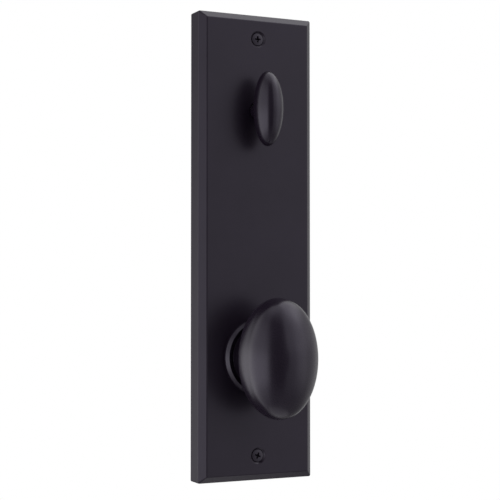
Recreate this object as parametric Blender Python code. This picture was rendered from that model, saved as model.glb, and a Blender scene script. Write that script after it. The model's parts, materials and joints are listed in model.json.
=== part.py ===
"""Interior trim of an entrance lockset: an upright bevelled escutcheon with an oval door knob and a
thumb turn, built as the separate pieces it comes apart into.

Frame: +X is to the right seen from the room, +Y goes into the door and +Z is up. The origin is the
centre of the face that lies on the door. A piece's height above the door is -Y.
"""

import math

import bmesh
import bpy
from mathutils import Vector
from mathutils.geometry import interpolate_bezier

MM = 0.001
GAP = 0.3 * MM  # clearance left between touching pieces

# Escutcheon: a hollow-backed plate with a bevelled front edge.
PLATE_WIDTH = 71.4 * MM
PLATE_HEIGHT = 266.7 * MM
PLATE_DEPTH = 14.6 * MM
PLATE_BEVEL = 3.8 * MM
PLATE_WALL = 3.0 * MM
PLATE_CORNER = 1.0 * MM
RIB_HALF_HEIGHT = 6.0 * MM
BACK_OF_FRONT = PLATE_DEPTH - PLATE_WALL

# The two axes are about 5 1/2 inches apart.
AXIS_SPACING = 140.3 * MM
TURN_Z = 77.5 * MM
KNOB_Z = TURN_Z - AXIS_SPACING

# Countersunk screws that hold the plate to the door.
SCREW_Z = 119.1 * MM
SCREW_BOSS_RADIUS = 6.5 * MM
SCREW_HOLE_RADIUS = 2.5 * MM
SCREW_SHANK_RADIUS = 2.1 * MM
SCREW_HEAD_RADIUS = 3.5 * MM
COUNTERSINK_RADIUS = 4.65 * MM
SCREW_LENGTH = 34.0 * MM

# Knob: an egg that is taller than wide, on a flared shank.
KNOB_HALF_WIDTH = 21.5 * MM
KNOB_HALF_HEIGHT = 34.2 * MM
# Its profile from the nose to the back: the share of the full width, the height above the plate's
# front, and how many degrees the surface faces away from the axis.
KNOB_PROFILE = (
    (0.0, 47.6 * MM, 0),
    (0.24, 46.8 * MM, 17),
    (0.76, 40.1 * MM, 46),
    (0.91, 35.6 * MM, 66),
    (0.98, 27.5 * MM, 83),
    (1.0, 21.0 * MM, 90),
    (0.975, 17.9 * MM, 122),
    (0.60, 8.8 * MM, 142),
)
KNOB_BACK = PLATE_DEPTH + KNOB_PROFILE[-1][1]
# Behind this height the egg's top and bottom draw in more than its sides do.
KNOB_TAPER_START = 27.5 * MM
KNOB_TAPER_LENGTH = 14.5 * MM
KNOB_TAPER = 0.09
KNOB_BORE_RADIUS = 8.9 * MM
KNOB_BORE_END = PLATE_DEPTH + 21.0 * MM

# Collar: the raised ring round the shank, with a broad chamfer and a dished front.
COLLAR_RADIUS = 21.8 * MM
COLLAR_HEIGHT = 4.9 * MM
COLLAR_CHAMFER = (1.5 * MM, 2.2 * MM)  # across and along the axis
COLLAR_LIP = 0.3 * MM
COLLAR_DISH = 2.0 * MM
COLLAR_SPIGOT_RADIUS = 15.7 * MM
COLLAR_BORE_RADIUS = 13.0 * MM

# Shank and what runs on it.
SHANK_RADIUS = 11.0 * MM
SHANK_END = -2.0 * MM
SHANK_FOOT_RADIUS = 17.6 * MM
SHANK_POST_RADIUS = 8.6 * MM
SHANK_GROOVE_DEPTH = 0.8 * MM
SHANK_GROOVE_LOW = -1.4 * MM
SHANK_GROOVE_HIGH = 0.0 * MM
SHANK_CLIP_RADIUS = 13.4 * MM
THRUST_RADIUS = 14.6 * MM
KEY_WIDTH = 3.0 * MM
KEY_DEPTH = 1.5 * MM
SET_SCREW_RADIUS = 1.4 * MM
SET_SCREW_HEIGHT = PLATE_DEPTH + 6.3 * MM

# Square spindle that turns the latch, and the flat blade that turns the deadbolt.
SPINDLE_SIDE = 7.9 * MM
SPINDLE_INNER_END = PLATE_DEPTH + 12.5 * MM
SPINDLE_OUTER_END = -45.0 * MM
BLADE_WIDTH = 6.4 * MM
BLADE_THICKNESS = 2.4 * MM
BLADE_INNER_END = 8.7 * MM
BLADE_OUTER_END = -42.0 * MM

# Return spring cassette behind the plate.
HOUSING_RADIUS = 17.0 * MM
HOUSING_WALL = 1.2 * MM
HOUSING_TOP = BACK_OF_FRONT - GAP
HOUSING_RIM = 2.7 * MM
COVER_TOP = HOUSING_RIM - GAP
COVER_THICKNESS = 1.0 * MM
CASSETTE_SCREW_CIRCLE = 20.5 * MM
CASSETTE_SCREW_COUNT = 3
CASSETTE_SCREW_RADIUS = 1.3 * MM
CASSETTE_HEAD_RADIUS = 2.6 * MM
CASSETTE_SCREW_END = 10.1 * MM
POST_RADIUS = 3.2 * MM
EAR_RADIUS = 4.2 * MM
CAM_RING_RADIUS = 13.0 * MM
CAM_ARM_RADIUS = 15.3 * MM
CAM_TOP = 9.7 * MM
CAM_THICKNESS = 1.5 * MM
CAM_ARM_HALF_ANGLE = 15.0
STOP_ANGLE = 76.5
STOP_WIDTH_ANGLE = 10.0
SPRING_RADIUS = 12.6 * MM
SPRING_LEG_RADIUS = 14.5 * MM
SPRING_WIRE_RADIUS = 0.55 * MM
SPRING_TURNS = 3
SPRING_BOTTOM = 3.4 * MM
SPRING_PITCH = 1.3 * MM
SPRING_LEG_ANGLE = 21.0
SPRING_STEPS_PER_TURN = 28

# Thumb turn: a slim oval grip on a short neck.
TURN_HALF_WIDTH = 8.4 * MM
TURN_HALF_HEIGHT = 21.3 * MM
TURN_WIDEST = PLATE_DEPTH + 12.2 * MM
TURN_NOSE = 11.3 * MM
TURN_REAR = 6.2 * MM
TURN_NECK_RADIUS = 5.0 * MM
TURN_NECK_END = 12.0 * MM
TURN_BORE_RADIUS = 3.3 * MM
TURN_BORE_END = PLATE_DEPTH + 12.0 * MM
TURN_SHAFT_END = 1.6 * MM
TURN_GROOVE = (5.5 * MM, 6.9 * MM)
TURN_GROOVE_DEPTH = 0.9 * MM
TURN_CLIP_RADIUS = 7.6 * MM
BUSHING_RADIUS = 7.0 * MM
BUSHING_FLANGE_RADIUS = 9.5 * MM
BUSHING_SEAT = PLATE_DEPTH - 1.4 * MM
BLADE_PIN_RADIUS = 0.8 * MM
BLADE_PIN_HEIGHT = 3.4 * MM

FINE = 40  # segments round the pieces that show
PLAIN = 28  # segments round the inner pieces
SMALL = 16  # segments round small screws, pins and bosses
SMOOTH_ANGLE = math.radians(35)


# ---- Meshes. Each is modelled about its own axis, which is the local Y axis. ----


def ring_points(half_width, half_height, height, segments):
    """Points round an oval that faces the room, at a height above the door."""
    turn = 2 * math.pi / segments
    return [
        (half_width * math.cos(i * turn), -height, half_height * math.sin(i * turn))
        for i in range(segments)
    ]


def mesh_from(bm):
    """A mesh with its faces pointing out."""
    bmesh.ops.recalc_face_normals(bm, faces=bm.faces)
    mesh = bpy.data.meshes.new("mesh")
    bm.to_mesh(mesh)
    bm.free()
    return mesh


def bridge(bm, first, second):
    """Faces between two rows of vertices that run round an axis. A row may be a single pole."""
    count = max(len(first), len(second))
    for i in range(count):
        j = (i + 1) % count
        corners = [first[i % len(first)], first[j % len(first)]]
        corners += [second[j % len(second)], second[i % len(second)]]
        bm.faces.new(list(dict.fromkeys(corners)))


def turned(profile, segments, wave=0.0, waves=3):
    """A profile of (radius, height) points turned about the axis. It is solid if it starts and ends
    on the axis, and a ring if it stays clear of it. A wave lifts and lowers it on the way round."""
    bm = bmesh.new()
    rows = []
    for radius, height in profile:
        points = ring_points(radius, radius, height, segments) if radius > 0 else [(0, -height, 0)]
        row = []
        for i, (x, y, z) in enumerate(points):
            lift = wave * math.sin(2 * math.pi * waves * i / segments)
            row.append(bm.verts.new((x, y - lift, z)))
        rows.append(row)
    for first, second in zip(rows, rows[1:]):
        bridge(bm, first, second)
    if profile[0][0] > 0:
        bridge(bm, rows[-1], rows[0])
    return mesh_from(bm)


def oval(sections, segments):
    """A skin over oval sections (half width, half height, height), closed with a flat face or a
    pole at each end."""
    bm = bmesh.new()
    rows = []
    for half_width, half_height, height in sections:
        points = ring_points(half_width, half_height, height, segments)
        points = points if half_width > 0 else [(0, -height, 0)]
        rows.append([bm.verts.new(p) for p in points])
    for first, second in zip(rows, rows[1:]):
        bridge(bm, first, second)
    for row in (rows[0], rows[-1]):
        if len(row) > 1:
            bm.faces.new(row)
    return mesh_from(bm)


def block(x, height, z):
    """A box between (low, high) pairs across, above the door, and upwards."""
    bm = bmesh.new()
    rows = []
    for h in height:
        corners = [(x[0], z[0]), (x[1], z[0]), (x[1], z[1]), (x[0], z[1])]
        rows.append([bm.verts.new((cx, -h, cz)) for cx, cz in corners])
    bridge(bm, rows[0], rows[1])
    for row in rows:
        bm.faces.new(row)
    return mesh_from(bm)


def arc_block(radius, height, angle, segments):
    """A piece of a flat ring between (low, high) pairs of radius, height and angle in degrees,
    counted from +X towards +Z."""
    bm = bmesh.new()
    rows = []
    for i in range(segments + 1):
        a = math.radians(angle[0] + (angle[1] - angle[0]) * i / segments)
        corners = [(r, h) for r in radius for h in height]
        corners = [corners[0], corners[1], corners[3], corners[2]]
        rows.append([bm.verts.new((r * math.cos(a), -h, r * math.sin(a))) for r, h in corners])
    for first, second in zip(rows, rows[1:]):
        bridge(bm, first, second)
    for row in (rows[0], rows[-1]):
        bm.faces.new(row)
    return mesh_from(bm)


def cross(half_length, half_width, top, bottom, taper):
    """A tapering cross, the shape of a cross recess."""
    bm = bmesh.new()
    rows = []
    for height, scale in ((top, 1.0), (bottom, taper)):
        a, b = half_length * scale, half_width * scale
        quarter = [(a, -b), (a, b), (b, b)]
        points = []
        for k in range(4):
            c, s = round(math.cos(k * math.pi / 2)), round(math.sin(k * math.pi / 2))
            points += [(px * c - pz * s, px * s + pz * c) for px, pz in quarter]
        rows.append([bm.verts.new((px, -height, pz)) for px, pz in points])
    bridge(bm, rows[0], rows[1])
    for row in rows:
        bm.faces.new(row)
    return mesh_from(bm)


def outline(half_width, half_height, corner, steps=3):
    """A rectangle with rounded corners, as (x, z) points."""
    points = []
    for k, (sx, sz) in enumerate(((1, 1), (-1, 1), (-1, -1), (1, -1))):
        for i in range(steps + 1):
            a = math.radians(90 * k + 90 * i / steps)
            x = sx * (half_width - corner) + corner * math.cos(a)
            z = sz * (half_height - corner) + corner * math.sin(a)
            points.append((x, z))
    return points


# ---- Objects ----

FINISHES = {
    "satin_black": ((0.010, 0.0075, 0.014), 0.28, 0.0),
    "black_screw": ((0.010, 0.008, 0.013), 0.33, 0.0),
    "zinc_steel": ((0.55, 0.56, 0.58), 0.35, 1.0),
    "spring_steel": ((0.35, 0.35, 0.37), 0.30, 1.0),
    "brass": ((0.62, 0.47, 0.22), 0.30, 1.0),
    "nylon": ((0.78, 0.77, 0.72), 0.50, 0.0),
}


def finish(name):
    """The material of that name, made the first time that it is asked for."""
    if name in bpy.data.materials:
        return bpy.data.materials[name]
    colour, roughness, metallic = FINISHES[name]
    material = bpy.data.materials.new(name)
    material.use_nodes = True
    shader = material.node_tree.nodes["Principled BSDF"]
    shader.inputs["Base Color"].default_value = (*colour, 1.0)
    shader.inputs["Roughness"].default_value = roughness
    shader.inputs["Metallic"].default_value = metallic
    return material


def axis_empty(name, z):
    """The empty that a body's pieces hang on, on the axis that the body turns about."""
    empty = bpy.data.objects.new(name, None)
    empty.location = (0, 0, z)
    bpy.context.scene.collection.objects.link(empty)
    return empty


def place(name, data, parent, location=(0, 0, 0), rotation=(0, 0, 0)):
    """An object in the scene, placed relative to its parent."""
    obj = bpy.data.objects.new(name, data)
    obj.location = location
    obj.rotation_euler = rotation
    obj.parent = parent
    bpy.context.scene.collection.objects.link(obj)
    return obj


def piece(name, mesh, finish_name, parent=None, location=(0, 0, 0), rotation=(0, 0, 0)):
    """One physical piece of the trim."""
    mesh.name = name
    mesh.materials.append(finish(finish_name))
    mesh.shade_smooth()
    mesh.set_sharp_from_angle(angle=SMOOTH_ANGLE)
    return place(name, mesh, parent, location, rotation)


def tool(mesh, parent=None, location=(0, 0, 0), rotation=(0, 0, 0)):
    """A shape that only cuts a piece or joins it."""
    obj = place("tool", mesh, parent, location, rotation)
    obj.hide_render = True
    obj.display_type = "WIRE"
    return obj


def combine(target, operation, tools):
    """Cuts the tools out of a piece (DIFFERENCE), or joins them on (UNION), all in one step."""
    group = bpy.data.collections.new(f"{target.name}_{operation.lower()}")
    bpy.context.scene.collection.children.link(group)
    for obj in tools:
        group.objects.link(obj)
    modifier = target.modifiers.new(operation.lower(), "BOOLEAN")
    modifier.operation = operation
    modifier.solver = "EXACT"
    modifier.operand_type = "COLLECTION"
    modifier.collection = group


def cut(target, *tools):
    combine(target, "DIFFERENCE", tools)


def join(target, *tools):
    combine(target, "UNION", tools)


def rod(radius, low, high, segments=SMALL):
    """A plain cylinder along the axis."""
    return turned([(0, low), (radius, low), (radius, high), (0, high)], segments)


DOWN = (math.radians(90), 0, 0)  # turns the local Y axis to point along Z
ACROSS = (0, 0, math.radians(90))  # turns the local Y axis to point along X


# ---- Escutcheon and its screws ----


def cassette_screw_places():
    """Where the cassette's screws stand round the knob's axis, as (x, z)."""
    places = []
    for k in range(CASSETTE_SCREW_COUNT):
        a = math.radians(90 + 360 * k / CASSETTE_SCREW_COUNT)
        places.append((CASSETTE_SCREW_CIRCLE * math.cos(a), CASSETTE_SCREW_CIRCLE * math.sin(a)))
    return places


def plate_shell():
    """The plate's outside: straight sides, then the bevel all round the front."""
    bm = bmesh.new()
    inner_corner = PLATE_CORNER * 0.4
    steps = (
        (0, 0, PLATE_CORNER),
        (PLATE_DEPTH - PLATE_BEVEL, 0, PLATE_CORNER),
        (PLATE_DEPTH, PLATE_BEVEL, inner_corner),
    )
    rows = []
    for height, inset, corner in steps:
        points = outline(PLATE_WIDTH / 2 - inset, PLATE_HEIGHT / 2 - inset, corner)
        rows.append([bm.verts.new((x, -height, z)) for x, z in points])
    for first, second in zip(rows, rows[1:]):
        bridge(bm, first, second)
    for row in (rows[0], rows[-1]):
        bm.faces.new(row)
    return mesh_from(bm)


def make_plate(knob_axis, turn_axis):
    plate = piece("escutcheon_plate", plate_shell(), "satin_black")
    side = PLATE_WIDTH / 2 - PLATE_WALL
    end = PLATE_HEIGHT / 2 - PLATE_WALL
    below = -1 * MM
    inside_front = BACK_OF_FRONT + 0.4 * MM
    hollows = ((RIB_HALF_HEIGHT, end), (-end, -RIB_HALF_HEIGHT))
    cut(plate, *[tool(block((-side, side), (below, BACK_OF_FRONT), z)) for z in hollows])
    bosses = []
    for sign in (1, -1):
        boss = rod(SCREW_BOSS_RADIUS, 0, inside_front, PLAIN)
        bosses.append(tool(boss, location=(0, 0, sign * SCREW_Z)))
    for x, z in cassette_screw_places():
        bosses.append(tool(rod(POST_RADIUS, HOUSING_RIM, inside_front), knob_axis, (x, 0, z)))
    join(plate, *bosses)
    cone_end = PLATE_DEPTH - COUNTERSINK_RADIUS + SCREW_HOLE_RADIUS
    above = 1 * MM
    countersink = [
        (0, below),
        (SCREW_HOLE_RADIUS, below),
        (SCREW_HOLE_RADIUS, cone_end),
        (COUNTERSINK_RADIUS + above, PLATE_DEPTH + above),
        (0, PLATE_DEPTH + above),
    ]
    holes = []
    for sign in (1, -1):
        holes.append(tool(turned(countersink, PLAIN), location=(0, 0, sign * SCREW_Z)))
    for x, z in cassette_screw_places():
        screw_hole = rod(CASSETTE_SCREW_RADIUS + GAP, below, CASSETTE_SCREW_END + GAP)
        holes.append(tool(screw_hole, knob_axis, (x, 0, z)))
    through = (BACK_OF_FRONT - 1 * MM, PLATE_DEPTH + above)
    holes.append(tool(rod(COLLAR_SPIGOT_RADIUS + GAP, *through, FINE), knob_axis))
    bushing_seat = BUSHING_SEAT + GAP
    turn_hole = [
        (0, through[0]),
        (BUSHING_RADIUS + GAP, through[0]),
        (BUSHING_RADIUS + GAP, bushing_seat),
        (TURN_NECK_RADIUS + GAP, bushing_seat),
        (TURN_NECK_RADIUS + GAP, through[1]),
        (0, through[1]),
    ]
    holes.append(tool(turned(turn_hole, PLAIN), turn_axis))
    cut(plate, *holes)


def make_plate_screw(name, z):
    """An oval-head wood screw with a cross recess, a little below the plate's face."""
    rim = PLATE_DEPTH - COUNTERSINK_RADIUS + SCREW_HEAD_RADIUS + GAP
    cone = rim - SCREW_HEAD_RADIUS + SCREW_SHANK_RADIUS
    tip = rim - SCREW_LENGTH
    crown = 0.6 * MM
    profile = [
        (0, tip),
        (0.4 * MM, tip + 0.3 * MM),
        (SCREW_SHANK_RADIUS, tip + 6 * MM),
        (SCREW_SHANK_RADIUS, cone),
        (SCREW_HEAD_RADIUS, rim),
        (SCREW_HEAD_RADIUS * 0.62, rim + crown * 0.75),
        (0, rim + crown),
    ]
    screw = piece(name, turned(profile, 24), "black_screw", location=(0, 0, z))
    recess = cross(2.0 * MM, 0.55 * MM, rim + 2 * crown, rim - 1.6 * MM, 0.45)
    cut(screw, tool(recess, location=(0, 0, z)))


# ---- Knob: grip, shank, collar and bushing ----


def profile_points(knots, half_width, steps):
    """(half width, height) points on smooth arcs through (share, height, facing) knots."""
    arm = 0.36
    places, ways = [], []
    for share, height, facing in knots:
        a = math.radians(facing)
        places.append(Vector((share * half_width, height)))
        ways.append(Vector((math.cos(a), -math.sin(a))))
    points = []
    for i in range(len(knots) - 1):
        start, end = places[i], places[i + 1]
        reach = arm * (end - start).length
        leave, arrive = start + reach * ways[i], end - reach * ways[i + 1]
        points += interpolate_bezier(start, leave, arrive, end, steps + 1)[:-1]
    return points + [places[-1]]


def egg_sections():
    """The egg's oval sections from its nose to its back face."""
    ratio = KNOB_HALF_HEIGHT / KNOB_HALF_WIDTH
    sections = []
    for half, height in profile_points(KNOB_PROFILE, KNOB_HALF_WIDTH, 3):
        behind = min(max((KNOB_TAPER_START - height) / KNOB_TAPER_LENGTH, 0), 1)
        taper = 1 - KNOB_TAPER * behind**2 * (3 - 2 * behind)
        sections.append((half, half * ratio * taper, PLATE_DEPTH + height))
    return sections


def make_knob(axis):
    knob = piece("egg_knob", oval(egg_sections(), FINE), "satin_black", axis)
    cut(knob, tool(rod(KNOB_BORE_RADIUS, KNOB_BACK - 1 * MM, KNOB_BORE_END, PLAIN), axis))


def foot_profile(foot_low, neck_top):
    """The shank's foot, which flares out of the neck in a hollow quarter round."""
    neck_radius = SHANK_RADIUS + 0.4 * MM
    rim_top = foot_low + 0.8 * MM
    flare_top = neck_top - 0.9 * MM
    steps = 5
    points = [(SHANK_FOOT_RADIUS, foot_low), (SHANK_FOOT_RADIUS, rim_top)]
    for i in range(1, steps + 1):
        a = math.pi / 2 * i / steps
        radius = SHANK_FOOT_RADIUS - (SHANK_FOOT_RADIUS - neck_radius) * math.sin(a)
        points.append((radius, rim_top + (flare_top - rim_top) * (1 - math.cos(a))))
    points.append((neck_radius, neck_top))
    return points


def make_shank(axis):
    """The shank: a keyed journal behind, the flared foot and neck, and the post in the knob."""
    foot_low = PLATE_DEPTH + COLLAR_HEIGHT - COLLAR_DISH + GAP
    neck_top = KNOB_BACK - GAP
    post_top = KNOB_BORE_END - GAP
    groove = SHANK_RADIUS - SHANK_GROOVE_DEPTH
    profile = [
        (0, SHANK_END),
        (SHANK_RADIUS, SHANK_END),
        (SHANK_RADIUS, SHANK_GROOVE_LOW),
        (groove, SHANK_GROOVE_LOW),
        (groove, SHANK_GROOVE_HIGH),
        (SHANK_RADIUS, SHANK_GROOVE_HIGH),
        (SHANK_RADIUS, foot_low),
        *foot_profile(foot_low, neck_top),
        (SHANK_POST_RADIUS, neck_top),
        (SHANK_POST_RADIUS, post_top),
        (0, post_top),
    ]
    shank = piece("knob_shank", turned(profile, FINE), "satin_black", axis)
    half = SPINDLE_SIDE / 2 + GAP
    socket = block((-half, half), (SHANK_END - 1 * MM, SPINDLE_INNER_END + GAP), (-half, half))
    slot = KEY_WIDTH / 2 + GAP
    slot_z = (SHANK_RADIUS - KEY_DEPTH - GAP, SHANK_RADIUS + 1 * MM)
    keyway = block((-slot, slot), (SHANK_END - 1 * MM, CAM_TOP + GAP), slot_z)
    hole = rod(SET_SCREW_RADIUS + GAP, 2 * MM, SHANK_FOOT_RADIUS)
    hole_tool = tool(hole, axis, (0, -SET_SCREW_HEIGHT, 0), DOWN)
    cut(shank, tool(socket, axis), tool(keyway, axis), hole_tool)


def make_set_screw(axis):
    """The socket set screw that grips the spindle from below."""
    low = SPINDLE_SIDE / 2 + GAP
    high = SHANK_RADIUS + 0.2 * MM
    screw = piece(
        "knob_set_screw",
        rod(SET_SCREW_RADIUS, low, high),
        "zinc_steel",
        axis,
        (0, -SET_SCREW_HEIGHT, 0),
        DOWN,
    )
    socket = rod(0.75 * MM, high - 1.8 * MM, high + 1 * MM, 6)
    cut(screw, tool(socket, axis, (0, -SET_SCREW_HEIGHT, 0), DOWN))


def make_spindle(axis):
    half = SPINDLE_SIDE / 2
    mesh = block((-half, half), (SPINDLE_OUTER_END, SPINDLE_INNER_END), (-half, half))
    spindle = piece("knob_spindle", mesh, "zinc_steel", axis)
    bevel = spindle.modifiers.new("eased_edges", "BEVEL")
    bevel.width = 0.5 * MM
    bevel.segments = 1


def make_collar(axis):
    """The collar: a chamfered rim round a dished front, and a spigot that fits the plate's hole."""
    top = PLATE_DEPTH + COLLAR_HEIGHT
    base = PLATE_DEPTH + GAP
    chamfer_across, chamfer_along = COLLAR_CHAMFER
    dish = top - COLLAR_DISH
    spigot_end = BACK_OF_FRONT + 0.4 * MM
    lip_outside = COLLAR_RADIUS - chamfer_across
    lip_inside = lip_outside - COLLAR_LIP
    profile = [
        (COLLAR_SPIGOT_RADIUS, spigot_end),
        (COLLAR_SPIGOT_RADIUS, base),
        (COLLAR_RADIUS, base),
        (COLLAR_RADIUS, top - chamfer_along),
        (lip_outside, top),
        (lip_inside, top),
        (lip_inside - 0.4 * MM, dish),
        (COLLAR_BORE_RADIUS, dish),
        (COLLAR_BORE_RADIUS, spigot_end),
    ]
    piece("knob_collar", turned(profile, FINE), "satin_black", axis)


def make_knob_bushing(axis):
    """The nylon sleeve that the shank turns in."""
    inner, outer = SHANK_RADIUS + GAP, COLLAR_BORE_RADIUS - GAP
    low = BACK_OF_FRONT + 0.4 * MM
    high = PLATE_DEPTH + COLLAR_HEIGHT - COLLAR_DISH
    profile = [(inner, low), (outer, low), (outer, high), (inner, high)]
    piece("knob_bushing", turned(profile, PLAIN), "nylon", axis)


# ---- Return spring cassette ----


def make_housing(axis):
    """The cup that holds the return spring, with a stop on each side of the cam's arm."""
    inside = HOUSING_RADIUS - HOUSING_WALL
    floor = HOUSING_TOP - HOUSING_WALL
    hole = SHANK_RADIUS + 0.5 * MM
    profile = [
        (hole, HOUSING_TOP),
        (HOUSING_RADIUS, HOUSING_TOP),
        (HOUSING_RADIUS, HOUSING_RIM),
        (inside, HOUSING_RIM),
        (inside, floor),
        (hole, floor),
    ]
    housing = piece("spring_housing", turned(profile, PLAIN), "zinc_steel", axis)
    radii = (CAM_RING_RADIUS + 0.4 * MM, inside + HOUSING_WALL / 2)
    heights = (CAM_TOP - CAM_THICKNESS, floor + HOUSING_WALL / 2)
    stops = []
    for side in (1, -1):
        near = -90 + side * STOP_ANGLE
        angles = sorted((near, near + side * STOP_WIDTH_ANGLE))
        stops.append(tool(arc_block(radii, heights, angles, 2), axis))
    join(housing, *stops)


def make_cover(axis):
    """The cassette's cover, with an ear for each screw and a tab between the spring's legs."""
    low = COVER_TOP - COVER_THICKNESS
    inner = SHANK_RADIUS + 0.4 * MM
    profile = [(inner, low), (HOUSING_RADIUS, low), (HOUSING_RADIUS, COVER_TOP), (inner, COVER_TOP)]
    cover = piece("spring_cover", turned(profile, PLAIN), "zinc_steel", axis)
    step = 0.1 * MM
    tab_angles = (-90 - CAM_ARM_HALF_ANGLE, -90 + CAM_ARM_HALF_ANGLE)
    tab_heights = (COVER_TOP - COVER_THICKNESS / 2, CAM_TOP - CAM_THICKNESS - 1 * MM)
    tab_radii = (SPRING_LEG_RADIUS - 0.6 * MM, SPRING_LEG_RADIUS + 0.7 * MM)
    additions = [tool(arc_block(tab_radii, tab_heights, tab_angles, 4), axis)]
    holes = []
    for x, z in cassette_screw_places():
        ear = rod(EAR_RADIUS, low + step, COVER_TOP - step)
        hole = rod(CASSETTE_SCREW_RADIUS + GAP, low - 1 * MM, COVER_TOP + 1 * MM)
        additions.append(tool(ear, axis, (x, 0, z)))
        holes.append(tool(hole, axis, (x, 0, z)))
    join(cover, *additions)
    cut(cover, *holes)


def make_cassette_screw(name, axis, x, z):
    """A pan-head screw through the cover's ear into the plate's post."""
    seat = COVER_TOP - COVER_THICKNESS - GAP
    profile = [
        (0, seat - 1.1 * MM),
        (CASSETTE_HEAD_RADIUS - 0.9 * MM, seat - 1.0 * MM),
        (CASSETTE_HEAD_RADIUS, seat - 0.5 * MM),
        (CASSETTE_HEAD_RADIUS, seat),
        (CASSETTE_SCREW_RADIUS, seat),
        (CASSETTE_SCREW_RADIUS, CASSETTE_SCREW_END - 0.5 * MM),
        (0, CASSETTE_SCREW_END),
    ]
    screw = piece(name, turned(profile, SMALL), "zinc_steel", axis, (x, 0, z))
    recess = cross(1.4 * MM, 0.35 * MM, seat - 2 * MM, seat - 0.4 * MM, 0.6)
    cut(screw, tool(recess, axis, (x, 0, z)))


def make_cam(axis):
    """The cam: a ring keyed to the shank, with an arm that winds the spring either way."""
    inner = SHANK_RADIUS + GAP
    heights = (CAM_TOP - CAM_THICKNESS, CAM_TOP)
    profile = [
        (inner, heights[0]),
        (CAM_RING_RADIUS, heights[0]),
        (CAM_RING_RADIUS, heights[1]),
        (inner, heights[1]),
    ]
    cam = piece("drive_cam", turned(profile, PLAIN), "zinc_steel", axis)
    arm_angles = (-90 - CAM_ARM_HALF_ANGLE, -90 + CAM_ARM_HALF_ANGLE)
    thinner = (heights[0] + 0.1 * MM, heights[1] - 0.1 * MM)
    arm = arc_block((CAM_RING_RADIUS - 0.6 * MM, CAM_ARM_RADIUS), thinner, arm_angles, 4)
    key = KEY_WIDTH / 2
    key_z = (SHANK_RADIUS - KEY_DEPTH, SHANK_RADIUS + 1.2 * MM)
    join(cam, tool(arm, axis), tool(block((-key, key), thinner, key_z), axis))


def spring_points():
    """The wire's centre line: up one leg, round the coil, and up the other leg. The legs stand
    on each side of the cam's arm."""

    def point(radius, height, degrees):
        a = math.radians(degrees)
        return (radius * math.cos(a), -height, radius * math.sin(a))

    start = -90 + SPRING_LEG_ANGLE
    end = -90 - SPRING_LEG_ANGLE + 360 * SPRING_TURNS
    bottom, top = SPRING_BOTTOM, SPRING_BOTTOM + SPRING_PITCH * SPRING_TURNS
    leg_top = CAM_TOP - 0.2 * MM
    steps = SPRING_TURNS * SPRING_STEPS_PER_TURN
    points = [point(SPRING_LEG_RADIUS, leg_top, start)]
    points.append(point(SPRING_LEG_RADIUS, bottom + 0.7 * MM, start))
    points.append(point(SPRING_LEG_RADIUS - 0.5 * MM, bottom, start + 2))
    for i in range(1, steps):
        share = i / steps
        degrees = start + (end - start) * share
        points.append(point(SPRING_RADIUS, bottom + (top - bottom) * share, degrees))
    points.append(point(SPRING_LEG_RADIUS - 0.5 * MM, top, end - 2))
    points.append(point(SPRING_LEG_RADIUS, top + 0.6 * MM, end))
    points.append(point(SPRING_LEG_RADIUS, leg_top, end))
    return points


def make_spring(axis):
    curve = bpy.data.curves.new("return_spring", "CURVE")
    curve.dimensions = "3D"
    curve.bevel_depth = SPRING_WIRE_RADIUS
    curve.bevel_resolution = 1
    curve.use_fill_caps = True
    points = spring_points()
    spline = curve.splines.new("POLY")
    spline.points.add(len(points) - 1)
    for target, point in zip(spline.points, points):
        target.co = (*point, 1)
    curve.materials.append(finish("spring_steel"))
    place("return_spring", curve, axis)


def make_shank_rings(axis):
    """The thrust washer and the open retaining ring that hold the shank in the plate."""
    inner = SHANK_RADIUS + GAP
    cover_low = COVER_TOP - COVER_THICKNESS
    low, high = 0.2 * MM, cover_low - GAP
    washer = [(inner, low), (THRUST_RADIUS, low), (THRUST_RADIUS, high), (inner, high)]
    piece("thrust_washer", turned(washer, PLAIN), "brass", axis)
    groove = SHANK_RADIUS - SHANK_GROOVE_DEPTH + GAP
    clip_heights = (SHANK_GROOVE_LOW + GAP, SHANK_GROOVE_HIGH - 0.2 * MM)
    clip = arc_block((groove, SHANK_CLIP_RADIUS), clip_heights, (-60, 240), 26)
    piece("shank_retaining_ring", clip, "spring_steel", axis)


# ---- Thumb turn ----


def turn_sections():
    """The grip from the plate up: the neck, the oval grip, which is flatter behind its widest
    section, and its pole."""
    steps = 12
    sections = [(TURN_NECK_RADIUS, TURN_NECK_RADIUS, TURN_NECK_END)]
    start = math.asin((TURN_NECK_RADIUS - 0.6 * MM) / TURN_HALF_WIDTH)
    neck_top = TURN_WIDEST - TURN_REAR * math.cos(start) - 0.5 * MM
    sections.append((TURN_NECK_RADIUS, TURN_NECK_RADIUS, neck_top))
    for i in range(steps + 1):
        a = start + (math.pi - start) * i / steps
        scale = math.sin(a) if i < steps else 0
        depth = TURN_REAR if a < math.pi / 2 else TURN_NOSE
        height = TURN_WIDEST - depth * math.cos(a)
        sections.append((TURN_HALF_WIDTH * scale, TURN_HALF_HEIGHT * scale, height))
    return sections


def make_thumb_turn(axis):
    turn = piece("thumb_turn", oval(turn_sections(), 32), "satin_black", axis)
    cut(turn, tool(rod(TURN_BORE_RADIUS, TURN_NECK_END - 1 * MM, TURN_BORE_END), axis))


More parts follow.
